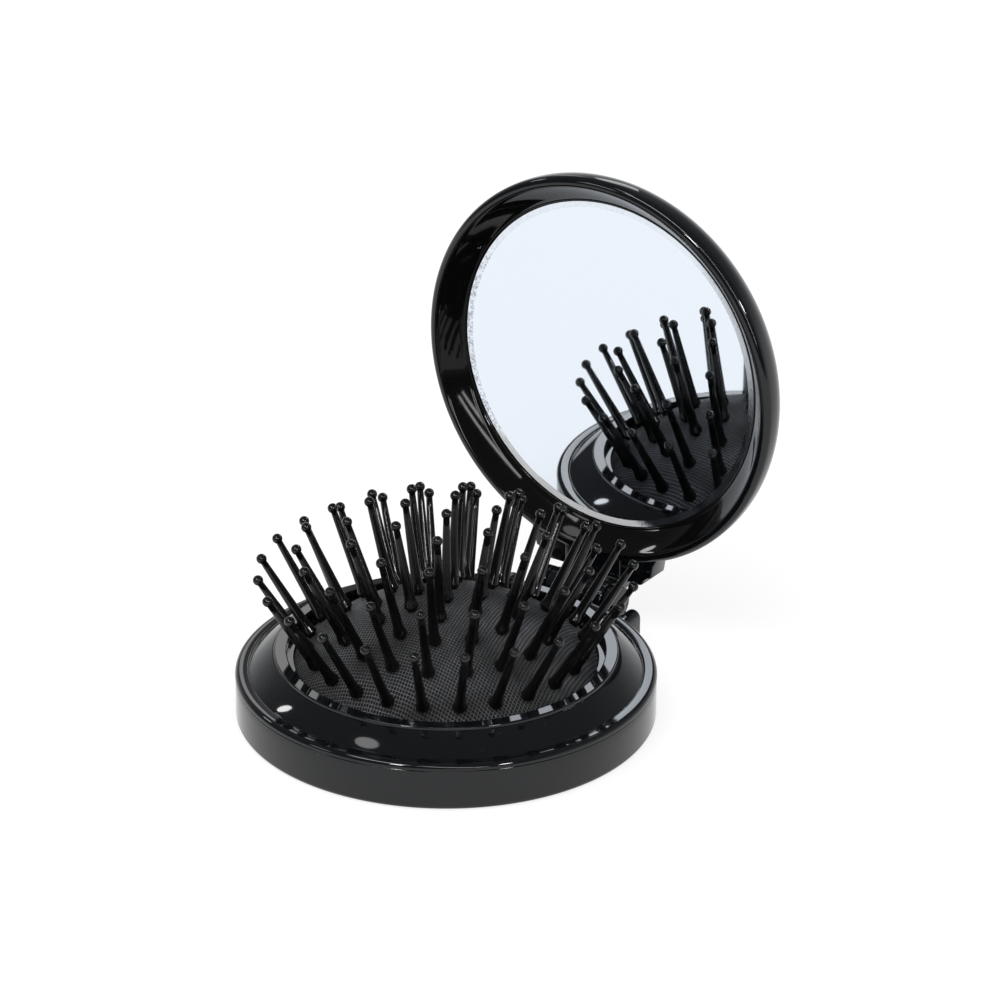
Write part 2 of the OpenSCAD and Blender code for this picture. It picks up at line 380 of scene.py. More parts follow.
    @staticmethod
    def join(pieces: Sequence[bpy.types.Object]) -> bpy.types.Object:
        """Joins pieces into the first of them.

        Args:
            pieces: The objects to join.

        Returns:
            The one that is left.
        """
        Bench.clear()
        for piece in pieces:
            piece.select_set(True)
        bpy.context.view_layer.objects.active = pieces[0]
        if len(pieces) > 1:
            bpy.ops.object.join()
        return pieces[0]


# ---------------------------------------------------------------------------------------------
# Surface effects that several finishes share
# ---------------------------------------------------------------------------------------------


class Effect:
    """A shader node group with named inputs and outputs, built once and shared."""

    def __init__(self, name: str) -> None:
        """Starts an empty group.

        Args:
            name: The group's name.
        """
        self.tree = bpy.data.node_groups.new(name, "ShaderNodeTree")
        self.entry = self.tree.nodes.new("NodeGroupInput")
        self.exit = self.tree.nodes.new("NodeGroupOutput")

    def takes(self, name: str, default: float | None = None) -> bpy.types.NodeSocket:
        """Adds an input.

        Args:
            name: Its name.
            default: Its value, or None for a vector.

        Returns:
            The socket inside the group.
        """
        kind = "NodeSocketVector" if default is None else "NodeSocketFloat"
        sock = self.tree.interface.new_socket(name=name, in_out="INPUT", socket_type=kind)
        if default is not None:
            sock.default_value = default
        return self.entry.outputs[name]

    def gives(self, name: str, source: bpy.types.NodeSocket) -> None:
        """Adds a number output and feeds it.

        Args:
            name: Its name.
            source: The socket that feeds it.
        """
        self.tree.interface.new_socket(name=name, in_out="OUTPUT", socket_type="NodeSocketFloat")
        self.tree.links.new(source, self.exit.inputs[name])

    def node(self, kind: str, feeds: dict[str | int, object], **settings: object) -> bpy.types.Node:
        """Adds a node to the group.

        Args:
            kind: The node's type.
            feeds: What feeds its inputs.
            **settings: Properties of the node.

        Returns:
            The node.
        """
        return make_node(self.tree, kind, feeds, **settings)

    def sum(self, operation: str, a: object, b: object = 0.0, c: float | None = None) -> bpy.types.NodeSocket:
        """Works out one step of arithmetic.

        Args:
            operation: The Math node's operation.
            a: First value or socket.
            b: Second value or socket.
            c: Third value, where the operation has one.

        Returns:
            The result's socket.
        """
        feeds = {0: a, 1: b} if c is None else {0: a, 1: b, 2: c}
        return self.node("ShaderNodeMath", feeds, operation=operation).outputs[0]

    def weigh(self, a: object, share_a: float, b: object, share_b: float) -> bpy.types.NodeSocket:
        """Adds two values by their shares.

        Args:
            a: First socket.
            share_a: What it is multiplied by.
            b: Second socket.
            share_b: What that is multiplied by.

        Returns:
            The total's socket.
        """
        return self.sum("ADD", self.sum("MULTIPLY", a, share_a), self.sum("MULTIPLY", b, share_b))

    def ramp(self, value: object, low: object, high: object) -> bpy.types.NodeSocket:
        """Spreads a value smoothly from 0 at one level to 1 at another.

        Args:
            value: The value or socket.
            low: Level that becomes 0.
            high: Level that becomes 1.

        Returns:
            The result's socket.
        """
        feeds = {"Value": value, "From Min": low, "From Max": high}
        made = self.node("ShaderNodeMapRange", feeds, interpolation_type="SMOOTHSTEP", clamp=True)
        return made.outputs["Result"]

    def noise(
        self, where: object, scale: object, detail: float = 2, rough: float = 0.5
    ) -> bpy.types.NodeSocket:
        """Adds a noise texture.

        Args:
            where: The coordinates' socket.
            scale: Its scale in repeats to the metre.
            detail: Octaves.
            rough: Weight of the finer octaves.

        Returns:
            The noise's socket, about 0 to 1.
        """
        feeds = {"Vector": where, "Scale": scale, "Detail": detail, "Roughness": rough}
        return self.node("ShaderNodeTexNoise", feeds, noise_dimensions="3D").outputs["Fac"]


@dataclass
class SurfaceEffects:
    """The shared node groups, each built once."""

    ripple: bpy.types.NodeTree = field(init=False)
    handling: bpy.types.NodeTree = field(init=False)
    dust: bpy.types.NodeTree = field(init=False)
    hatch: bpy.types.NodeTree = field(init=False)
    grinding: bpy.types.NodeTree = field(init=False)

    def __post_init__(self) -> None:
        """Builds every group."""
        self.ripple = self._ripple()
        self.handling = self._handling()
        self.dust = self._dust()
        self.hatch = self._hatch()
        self.grinding = self._grinding()

    @staticmethod
    def _ripple() -> bpy.types.NodeTree:
        """The faint waviness and grain of a moulded skin.

        Returns:
            A group that gives Height.
        """
        e = Effect("moulded_skin")
        where = e.takes("Vector")
        broad = e.noise(where, e.takes("Wave Scale", 90.0), 1.0, 0.4)
        fine = e.noise(where, e.takes("Grain Scale", 5200.0), 2.0, 0.6)
        weight = e.takes("Grain Amount", 0.02)
        e.gives("Height", e.sum("ADD", broad, e.sum("MULTIPLY", fine, weight)))
        return e.tree

    @staticmethod
    def _handling() -> bpy.types.NodeTree:
        """Hairline scuffs in two directions and the dull clouds that handling leaves.

        Returns:
            A group that gives Scuff, the fine lines, and Smear, the soft clouds.
        """
        e = Effect("handling_marks")
        where = e.takes("Vector")
        amount = e.takes("Amount", 1.0)
        lines = None
        for turn, stretch in ((0.6, (1900, 90, 90)), (-1.1, (110, 2300, 130))):
            feeds = {"Vector": where, "Rotation": (0.35, 0.25, turn), "Scale": stretch}
            bend = e.node("ShaderNodeMapping", feeds, vector_type="POINT")
            hair = e.ramp(e.noise(bend.outputs["Vector"], 1.0, 3.0, 0.6), 0.63, 0.74)
            lines = hair if lines is None else e.sum("MAXIMUM", lines, hair)
        patch = e.ramp(e.noise(where, 160.0, 2.0), 0.42, 0.66)
        e.gives("Scuff", e.sum("MULTIPLY", e.sum("MULTIPLY", lines, patch), amount))
        smear = e.ramp(e.noise(where, 70.0, 4.0, 0.62), 0.4, 0.72)
        e.gives("Smear", e.sum("MULTIPLY", smear, amount))
        return e.tree

    @staticmethod
    def _dust() -> bpy.types.NodeTree:
        """Sparse specks of dust.

        Returns:
            A group that gives Mask.
        """
        e = Effect("dust_specks")
        where = e.takes("Vector")
        feeds = {"Vector": where, "Scale": e.takes("Scale", 700.0)}
        cell = e.node("ShaderNodeTexVoronoi", feeds, feature="F1", distance="EUCLIDEAN")
        size = e.takes("Size", 0.12)
        speck = e.sum("SUBTRACT", 1.0, e.ramp(cell.outputs["Distance"], e.sum("MULTIPLY", size, 0.5), size))
        here = e.ramp(e.noise(where, 1500.0, 1.0), e.takes("Sparse", 0.6), 0.78)
        e.gives("Mask", e.sum("MULTIPLY", speck, here))
        return e.tree

    @staticmethod
    def _hatch() -> bpy.types.NodeTree:
        """A moulded cross-hatch: two sets of fine ribs that cross and wander slightly.

        Returns:
            A group that gives Height, and Ridge, the tops of the ribs.
        """
        e = Effect("cross_hatch")
        where = e.takes("Vector")
        pitch = e.takes("Repeats", 16000.0)
        wander = e.takes("Wander", 0.8)
        parts = e.node("ShaderNodeSeparateXYZ", {"Vector": where})
        waves = []
        for turn, scale in ((0.24, 300.0), (1.68, 340.0)):
            drift = e.sum("MULTIPLY", e.noise(where, scale, 1.0), wander)
            mix = e.weigh(parts.outputs["X"], math.cos(turn), parts.outputs["Y"], math.sin(turn))
            phase = e.sum("ADD", e.sum("MULTIPLY", mix, pitch), drift)
            waves.append(e.sum("MULTIPLY_ADD", e.sum("SINE", phase), 0.5, 0.5))
        height = e.sum("MAXIMUM", waves[0], waves[1])
        e.gives("Height", height)
        e.gives("Ridge", e.ramp(height, 0.80, 1.0))
        return e.tree

    @staticmethod
    def _grinding() -> bpy.types.NodeTree:
        """A ground glass edge: speckled, more so toward the left, and painted white at the lower left, a
        painted highlight where the bevel catches the bright surroundings.

        Returns:
            A group that gives Speckle, Height, and the mask of the painted highlight at the lower left.
        """
        e = Effect("ground_edge")
        where = e.takes("Vector")
        coarse = e.noise(where, 1500.0, 3.0, 0.7)
        fine = e.noise(where, e.takes("Scale", 4200.0), 2.0, 0.6)
        speck = e.ramp(e.weigh(coarse, 0.6, fine, 0.4), 0.47, 0.57)
        parts = e.node("ShaderNodeSeparateXYZ", {"Vector": where})

        def towards(across: float, up: float, start: float, end: float) -> bpy.types.NodeSocket:
            """Gives a mask for the side of the ring that faces one way."""
            way = e.weigh(parts.outputs["X"], across, parts.outputs["Z"], up)
            return e.ramp(e.sum("ADD", way, e.sum("MULTIPLY", coarse, 0.002)), start, end)

        # Mask of the lower left of the ring, which is painted white as a painted highlight.
        painted_highlight = towards(-0.30, -0.954, -0.0185, -0.0165)
        # Mask of the left side, where the speckles are stronger.
        left = towards(-0.985, -0.17, 0.0115, 0.0150)
        e.gives("Painted Highlight", painted_highlight)
        mask_weight = e.sum("MULTIPLY_ADD", left, 0.45, 0.08)
        clear = e.sum("MULTIPLY", speck, mask_weight)
        # No speckles where the painted highlight is.
        e.gives("Speckle", e.sum("MULTIPLY", clear, e.sum("SUBTRACT", 1.0, painted_highlight)))
        e.gives("Height", e.sum("ADD", fine, coarse))
        return e.tree


# ---------------------------------------------------------------------------------------------
# Finishes
# ---------------------------------------------------------------------------------------------


class Dye:
    """The nodes of one material, wired up step by step."""

    def __init__(self, name: str) -> None:
        """Starts a material with its shader.

        Args:
            name: The material's name.
        """
        self.material = bpy.data.materials.new(name)
        self.material.use_nodes = True
        self.tree = self.material.node_tree
        self.shader = self.tree.nodes["Principled BSDF"]
        self.place = self.tree.nodes.new("ShaderNodeTexCoord").outputs["Object"]

    def own_place(self, attribute: str) -> None:
        """Reads the pattern's place from an attribute of the mesh."""
        look_up = {"attribute_type": "GEOMETRY", "attribute_name": attribute}
        self.place = make_node(self.tree, "ShaderNodeAttribute", {}, **look_up).outputs["Vector"]

    def put(self, **values: object) -> None:
        """Sets plain values on the shader's own sockets."""
        for key, value in values.items():
            self.shader.inputs[key.replace("_", " ")].default_value = value

    def effect(self, group: bpy.types.NodeTree, **values: float) -> bpy.types.Node:
        """Places a shared effect with this finish's own values.

        Args:
            group: The effect.
            **values: Its inputs, with _ for a space.

        Returns:
            The group's node.
        """
        node = self.tree.nodes.new("ShaderNodeGroup")
        node.node_tree = group
        self.tree.links.new(self.place, node.inputs["Vector"])
        for key, value in values.items():
            node.inputs[key.replace("_", " ")].default_value = value
        return node

    def spread(
        self, mask: bpy.types.NodeSocket, low: float, high: float, start: float = 0.0, end: float = 1.0
    ) -> bpy.types.NodeSocket:
        """Turns a mask into a value between two levels.

        Args:
            mask: The mask's socket.
            low: Value at the start of the mask.
            high: Value at its end.
            start: Level of the mask that gives low.
            end: Level that gives high.

        Returns:
            The value's socket.
        """
        feeds = {"Value": mask, "From Min": start, "From Max": end, "To Min": low, "To Max": high}
        return make_node(self.tree, "ShaderNodeMapRange", feeds).outputs["Result"]

    def blend(
        self, mask: bpy.types.NodeSocket, under: object, over: object
    ) -> bpy.types.NodeSocket:
        """Lays one colour over another through a mask.

        Args:
            mask: The mask's socket.
            under: Colour or socket where the mask is 0.
            over: Colour or socket where it is 1.

        Returns:
            The colour's socket.
        """
        feeds = {0: mask}
        for slot, value in ((6, under), (7, over)):
            feeds[slot] = value if isinstance(value, bpy.types.NodeSocket) else (*value, 1.0)
        return make_node(self.tree, "ShaderNodeMix", feeds, data_type="RGBA").outputs[2]

    def add(
        self, a: bpy.types.NodeSocket, b: bpy.types.NodeSocket, operation: str = "ADD"
    ) -> bpy.types.NodeSocket:
        """Combines two number sockets."""
        return make_node(self.tree, "ShaderNodeMath", {0: a, 1: b}, operation=operation).outputs[0]

    def wire(self, socket: str, source: bpy.types.NodeSocket) -> None:
        """Feeds one of the shader's sockets."""
        self.tree.links.new(source, self.shader.inputs[socket])

    def bump(self, height: bpy.types.NodeSocket, depth: float) -> bpy.types.NodeSocket:
        """Raises the surface by a height map.

        Args:
            height: The height's socket.
            depth: Depth in metres of a height of 1.

        Returns:
            The normal's socket.
        """
        feeds = {"Strength": 1.0, "Distance": depth, "Height": height}
        return make_node(self.tree, "ShaderNodeBump", feeds).outputs["Normal"]


@dataclass(frozen=True)
class GlossShell:
    """Polished black moulding: base, bezel, cup and lid."""

    name: str = "polished_black_moulding"
    colour: Colour = (0.0038, 0.0046, 0.0060)
    dust: Colour = (0.055, 0.056, 0.058)
    roughness: tuple[float, float] = (0.045, 0.15)
    wave_depth: float = 1.1e-5
    specular: float = 0.42

    def build(self, effects: SurfaceEffects) -> bpy.types.Material:
        """Makes the material.

        Args:
            effects: The shared effects.

        Returns:
            The finished material.
        """
        dye = Dye(self.name)
        marks = dye.effect(effects.handling, Amount=0.7)
        specks = dye.effect(effects.dust, Scale=850.0, Size=0.16, Sparse=0.6)
        skin = dye.effect(effects.ripple, Wave_Scale=85.0, Grain_Scale=5200.0, Grain_Amount=0.012)
        dye.wire("Base Color", dye.blend(specks.outputs["Mask"], self.colour, self.dust))
        rough = dye.add(
            dye.spread(marks.outputs["Smear"], self.roughness[0], self.roughness[0] + 0.035),
            dye.spread(marks.outputs["Scuff"], 0.0, self.roughness[1] - self.roughness[0]),
        )
        dye.wire("Roughness", rough)
        dye.wire("Normal", dye.bump(skin.outputs["Height"], self.wave_depth))
        dye.put(IOR=1.5, Specular_IOR_Level=self.specular)
        return dye.material


@dataclass(frozen=True)
class PinNylon:
    """Satin black nylon of the pins, with draw lines along each pin."""

    name: str = "satin_black_pins"
    colour: Colour = (0.0044, 0.0045, 0.0049)
    roughness: tuple[float, float] = (0.10, 0.16)

    def build(self, effects: SurfaceEffects) -> bpy.types.Material:
        """Makes the material.

        Args:
            effects: The shared effects.

        Returns:
            The finished material.
        """
        dye = Dye(self.name)
        dye.own_place("pin_place")
        marks = dye.effect(effects.handling, Amount=0.8)
        specks = dye.effect(effects.dust, Scale=1500.0, Size=0.14, Sparse=0.62)
        skin = dye.effect(effects.ripple, Wave_Scale=420.0, Grain_Scale=9000.0, Grain_Amount=0.05)
        dye.wire("Base Color", dye.blend(specks.outputs["Mask"], self.colour, (0.05, 0.05, 0.052)))
        dye.wire("Roughness", dye.spread(marks.outputs["Smear"], *self.roughness))
        dye.wire("Normal", dye.bump(skin.outputs["Height"], 4e-6))
        dye.put(IOR=1.5, Specular_IOR_Level=0.38)
        return dye.material


@dataclass(frozen=True)
class HatchedRubber:
    """Soft dark rubber of the air cushion, with its moulded cross-hatch; the rib tops are painted light grey,
    a painted highlight, and the grooves near black, painted shade.
    """

    name: str = "hatched_cushion_rubber"
    # Painted shade in the grooves and painted highlight on the rib tops: the hatch's ridge mask blends these
    # two colours.
    valley: Colour = (0.0022, 0.0024, 0.0028)
    ridge: Colour = (0.150, 0.154, 0.161)
    repeats: float = 12600.0

    def build(self, effects: SurfaceEffects) -> bpy.types.Material:
        """Makes the material.

        Args:
            effects: The shared effects.

        Returns:
            The finished material.
        """
        dye = Dye(self.name)
        hatch = dye.effect(effects.hatch, Repeats=self.repeats, Wander=2.8)
        specks = dye.effect(effects.dust, Scale=1300.0, Size=0.22, Sparse=0.52)
        skin = dye.effect(effects.ripple, Wave_Scale=150.0, Grain_Scale=7000.0, Grain_Amount=0.6)
        # Random noise that makes the painted highlight on the rib tops stronger or weaker from place to
        # place.
        mask_weight = dye.spread(skin.outputs["Height"], 0.15, 1.5, 0.5, 1.1)
        ridge = dye.add(hatch.outputs["Ridge"], mask_weight, "MULTIPLY")
        # Painted highlight on the rib tops over painted shade in the grooves.
        colour = dye.blend(ridge, self.valley, self.ridge)
        dye.wire("Base Color", dye.blend(specks.outputs["Mask"], colour, (0.11, 0.11, 0.112)))
        dye.wire("Roughness", dye.spread(ridge, 0.7, 0.3))
        dye.wire("Normal", dye.bump(hatch.outputs["Height"], 2.6e-4))
        dye.put(IOR=1.48)
        return dye.material


@dataclass(frozen=True)
class Silvering:
    """Silvered face of the mirror, with the faintest smears and dust."""

    name: str = "silvered_mirror"
    colour: Colour = (0.775, 0.829, 0.893)

    def build(self, effects: SurfaceEffects) -> bpy.types.Material:
        """Makes the material.

        Args:
            effects: The shared effects.

        Returns:
            The finished material.
        """
        dye = Dye(self.name)
        marks = dye.effect(effects.handling, Amount=0.5)
        specks = dye.effect(effects.dust, Scale=420.0, Size=0.05, Sparse=0.64)
        dye.wire("Base Color", dye.blend(specks.outputs["Mask"], self.colour, (0.62, 0.66, 0.7)))
        dye.wire("Roughness", dye.spread(marks.outputs["Smear"], 0.012, 0.045))
        dye.put(Metallic=1.0)
        return dye.material


@dataclass(frozen=True)
class GroundEdge:
    """Ground bevel round the mirror: speckled silver glass, painted white at the lower left as a painted
    highlight.
    """

    name: str = "ground_mirror_edge"
    silver: Colour = (0.74, 0.79, 0.85)
    # Painted highlight: the white of the lower left of the bevel, standing for the bright surroundings it
    # catches.
    white: Colour = (0.98, 0.98, 0.98)
    dull: Colour = (0.12, 0.125, 0.13)

    def build(self, effects: SurfaceEffects) -> bpy.types.Material:
        """Makes the material.

        Args:
            effects: The shared effects.

        Returns:
            The finished material.
        """
        dye = Dye(self.name)
        grind = dye.effect(effects.grinding, Scale=4200.0)
        # The lower left is painted white, and made non-metallic and rougher: a painted highlight.
        highlight_tone = dye.blend(grind.outputs["Painted Highlight"], self.silver, self.white)
        dye.wire("Base Color", dye.blend(grind.outputs["Speckle"], highlight_tone, self.dull))
        dye.wire("Metallic", dye.spread(grind.outputs["Painted Highlight"], 1.0, 0.0))
        dye.wire("Roughness", dye.spread(grind.outputs["Painted Highlight"], 0.12, 0.4))
        dye.wire("Normal", dye.bump(grind.outputs["Height"], 3e-6))
        dye.put(IOR=1.5)
        return dye.material


@dataclass(frozen=True)
class TapeFoam:
    """White foam tape behind the glass."""

    name: str = "white_foam_tape"

    def build(self, effects: SurfaceEffects) -> bpy.types.Material:
        """Makes the material.

        Args:
            effects: The shared effects.

        Returns:
            The finished material.
        """
        dye = Dye(self.name)
        skin = dye.effect(effects.ripple, Wave_Scale=300.0, Grain_Scale=3000.0, Grain_Amount=0.8)
        tone = dye.spread(skin.outputs["Height"], 0.0, 1.0, 0.4, 1.2)
        dye.wire("Base Color", dye.blend(tone, (0.62, 0.62, 0.59), (0.75, 0.75, 0.73)))
        dye.wire("Normal", dye.bump(skin.outputs["Height"], 4e-5))
        dye.put(Roughness=0.8)
        return dye.material


@dataclass(frozen=True)
class DrawnSteel:
    """Drawn steel wire of the hinge pin."""

    name: str = "drawn_steel_wire"

    def build(self, effects: SurfaceEffects) -> bpy.types.Material:
        """Makes the material.

        Args:
            effects: The shared effects.

        Returns:
            The finished material.
        """
        dye = Dye(self.name)
        marks = dye.effect(effects.handling, Amount=1.0)
        skin = dye.effect(effects.ripple, Wave_Scale=900.0, Grain_Scale=8000.0, Grain_Amount=0.4)
        tone = dye.blend(marks.outputs["Smear"], (0.55, 0.54, 0.52), (0.42, 0.41, 0.40))
        dye.wire("Base Color", tone)
        dye.wire("Roughness", dye.spread(marks.outputs["Scuff"], 0.24, 0.45))
        dye.wire("Normal", dye.bump(skin.outputs["Height"], 1e-5))
        dye.put(Metallic=1.0)
        return dye.material


@dataclass
class Wardrobe:
    """Every finish of the hairbrush, built once."""

    effects: SurfaceEffects = field(default_factory=SurfaceEffects)
    shell: bpy.types.Material = field(init=False)
    surround: bpy.types.Material = field(init=False)
    pins: bpy.types.Material = field(init=False)
    rubber: bpy.types.Material = field(init=False)
    silver: bpy.types.Material = field(init=False)
    ground: bpy.types.Material = field(init=False)
    tape: bpy.types.Material = field(init=False)
    steel: bpy.types.Material = field(init=False)

    def __post_init__(self) -> None:
        """Builds the materials."""
        self.shell = GlossShell().build(self.effects)
        self.surround = GlossShell(
            name="black_surround_moulding",
            colour=(0.0032, 0.0032, 0.0033),
            dust=(0.03, 0.03, 0.03),
            roughness=(0.05, 0.13),
            wave_depth=6e-6,
            specular=0.2,
        ).build(self.effects)
        self.pins = PinNylon().build(self.effects)
        self.rubber = HatchedRubber().build(self.effects)
        self.silver = Silvering().build(self.effects)
        self.ground = GroundEdge().build(self.effects)
        self.tape = TapeFoam().build(self.effects)
        self.steel = DrawnSteel().build(self.effects)

    @staticmethod
    def dress(obj: bpy.types.Object, *materials: bpy.types.Material) -> None:
        """Puts materials in an object's slots, in order.

        Args:
            obj: The piece or the CAD node.
            *materials: The materials.
        """
        if len(obj.material_slots) == len(materials) and obj.material_slots:
            for slot, material in zip(obj.material_slots, materials):
                slot.material = material
            return
        obj.data.materials.clear()
        for material in materials:
            obj.data.materials.append(material)


def report(obj: bpy.types.Object, body: str, slot: Slot, *nodes: str) -> None:
    """Fixes a piece to its body, hides the nodes it stands for, and logs it.

    Args:
        obj: The piece.
        body: The body it rides on.
        slot: The material slot that its finish belongs to; not used.
        *nodes: The CAD nodes that it replaces.
    """
    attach(obj, body)
    if nodes:
        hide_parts(*nodes)
    faces = len(obj.data.polygons)
    LOG.info("%s: %d faces, on %s, for %s", obj.name, faces, body, ", ".join(nodes) or "-")


# ---------------------------------------------------------------------------------------------
# Sub-assemblies
# ---------------------------------------------------------------------------------------------


@dataclass
class Hinge:
    """Where the hinge's axis runs, and the sizes of its eyes."""

    y: float = 37.8
    z: float = 5.3
    knuckle_r: float = 3.0
    knuckle_w: float = 10.8
    ear_w: float = 1.9
    bore_r: float = 1.02

    @property
    def ear_x(self) -> float:
        """Inner face of each ear."""
        return self.knuckle_w / 2 + 0.2

    def opened(self) -> Matrix:
        """Turns a shape that is drawn shut into its standing place."""
        pivot = Vector((0, self.y, self.z)) * MM
        turn = Matrix.Rotation(math.radians(-90), 4, "X")
        return Matrix.Translation(pivot) @ turn @ Matrix.Translation(-pivot)

    def eye(self, name: str, radius: float, start: float, end: float) -> bpy.types.Object:
        """Models an eye on the hinge's axis, rounded at both rims and bored for the pin.

        Args:
            name: The piece's name.
            radius: Its outer radius.
            start: Where it starts along X.
            end: Where it ends.

        Returns:
            The eye, in place for a lid that is shut.
        """
        length = end - start
        edge = 0.3
        profile = (
            [(self.bore_r, 0.0)]
            + arc((radius - edge, edge), edge, -90, 0, 4)
            + arc((radius - edge, length - edge), edge, 0, 90, 4)
            + [(self.bore_r, length)]
        )
        obj = Bench.turn(name, profile, steps=64)
        place = Matrix.Translation(Vector((start, self.y, self.z)) * MM)
        Bench.settle(obj, place @ Matrix.Rotation(math.radians(90), 4, "Y"))
        return obj


@dataclass
class BaseHousing:
    """Round base: side wall, bezel with its lip, and the lugs of the hinge."""

    hinge: Hinge
    wardrobe: Wardrobe
    radius: float = 33.0
    wall_h: float = 6.6
    wall_t: float = 1.7
    band_rise: float = 1.1
    lip_h: float = 10.9
    bore_r: float = 25.2
    lip_over: float = 0.3
    cup_top: float = 9.5
    floor_t: float = 1.4
    collar_z: float = 4.9
    skirt_z: float = 5.0
    round_r: float = 0.8

    def build(self) -> None:
        """Models and dresses the whole base."""
        self._tub()
        self._lugs()
        self._bezel()

    def _notch(self, obj: bpy.types.Object) -> None:
        """Cuts the gap at the back that lets the lid's knuckle swing."""
        reach = self.hinge.ear_x - 0.1
        low = (-reach, self.radius - 3.1, self.wall_h - 1.7)
        Bench.cut(obj, low, (reach, self.radius + 4.9, self.wall_h + 6.3))

    def _tub(self) -> None:
        """Models the side wall, the floor ring and the guide collar."""
        r, t, h, bore = self.radius, self.wall_t, self.wall_h, self.bore_r
        collar = bore + 1.2
        profile = (
            [(bore - 0.45, 0.25), (bore - 0.25, 0.0)]
            + arc((r - self.round_r, self.round_r), self.round_r, -90, 0, 7)
            + [(r - 0.05, h - 1.4)]
            + arc((r - 0.17, h - 0.12), 0.12, 0, 90, 3)
            + [(r - t, h), (r - t, self.floor_t), (collar, self.floor_t), (collar, self.collar_z)]
            + [(bore, self.collar_z), (bore, 1.0), (bore - 0.45, 1.0)]
        )
        obj = Bench.turn("base_tub", profile)
        self._notch(obj)
        Bench.settle(obj)
        self.wardrobe.dress(obj, self.wardrobe.shell)
        report(obj, Body.BASE.value, Slot.SHELL, "base_shell")

    def _bezel(self) -> None:
        """Models the top ring: rounded band, crease, sloped face and lip."""
        r, h = self.radius, self.wall_h
        band = h + self.band_rise
        crease = r - 2.2
        lip_in, lip_out = self.bore_r - self.lip_over, self.bore_r + 1.7
        inner = r - self.wall_t - 0.15
        lip = self.lip_h
        profile = (
            [(r - 0.12, h + 0.05)]
            + arc((r - 0.17, h + 0.2), 0.17, -60, 0, 3)
            + arc((r - self.round_r, band - self.round_r), self.round_r, 0, 90, 9)
            + [(r - 0.88, band), (crease + 0.28, band), (crease + 0.2, band - 0.02)]
            + [(crease + 0.05, band - 0.15), (crease - 0.08, band - 0.15), (crease - 0.18, band - 0.06)]
            + [(lip_out + 0.32, lip - 0.52), (lip_out + 0.2, lip - 0.47), (lip_out + 0.04, lip - 0.45)]
            + arc((lip_out - 0.22, lip - 0.22), 0.22, 0, 90, 5)
            + [(lip_out - 0.3, lip), (lip_in + 0.2, lip)]
            + arc((lip_in + 0.14, lip - 0.14), 0.14, 90, 180, 4)
            + [(lip_in, self.cup_top + 0.3), (self.bore_r, self.cup_top + 0.2), (self.bore_r, self.skirt_z)]
            + [(inner, self.skirt_z), (inner, h + 0.05)]
        )
        obj = Bench.turn("base_bezel_ring", profile)
        self._notch(obj)
        Bench.settle(obj, angle=42)
        self.wardrobe.dress(obj, self.wardrobe.shell)
        report(obj, Body.BASE.value, Slot.SHELL, "base_bezel")

    def _lugs(self) -> None:
        """Models the two eyes on their necks, with the saddle-shaped shoulders beside them."""
        hinge, r = self.hinge, self.radius
        x0 = hinge.ear_x
        neck = [
            (r - 1.4, 0.9),
            (hinge.y - 2, 0.9),
            (hinge.y + 1.9, hinge.z - 2),
            (hinge.y, hinge.z),
            (hinge.y - 2.8, hinge.z - 0.4),
            (r - 1.4, hinge.z - 0.4),
        ]
        saddle = (
            [(x0, 0.9), (13.0, 0.9)]
            + arc((11.7, self.wall_h - 1.3), 1.3, 0, 130, 10)
            + arc((9.3, self.wall_h + 0.8), 1.9, -45, -135, 8)
            + [(x0, self.wall_h - 0.4)]
        )
        for side, word in ((1, "right"), (-1, "left")):
            flip = [(side * x, z) for x, z in saddle]
            near, far = sorted((side * x0, side * (x0 + hinge.ear_w)))
            stem = Bench.slab(f"ear_neck_{word}", neck, Plane.YZ, near, far, 0.25)
            block = Bench.slab(f"shoulder_{word}", flip, Plane.XZ, r - 2.6, r + 2.6, 0.3)
            eye = hinge.eye(f"ear_eye_{word}", hinge.knuckle_r - 0.1, near, far)
            lug = Bench.join([block, stem, eye])
            lug.name = f"hinge_lug_{word}"
            Bench.settle(lug)
            self.wardrobe.dress(lug, self.wardrobe.shell)
            report(lug, Body.BASE.value, Slot.SHELL, "base_shell")


@dataclass(frozen=True)
class Dome:
    """The sphere that the top of the cushion is part of."""

    round_r: float = 33.0
    top: float = 19.0

    def height(self, distance: float) -> float:
        """Height of the dome at a distance from the middle."""
        return self.top - self.round_r + math.sqrt(self.round_r**2 - distance**2)


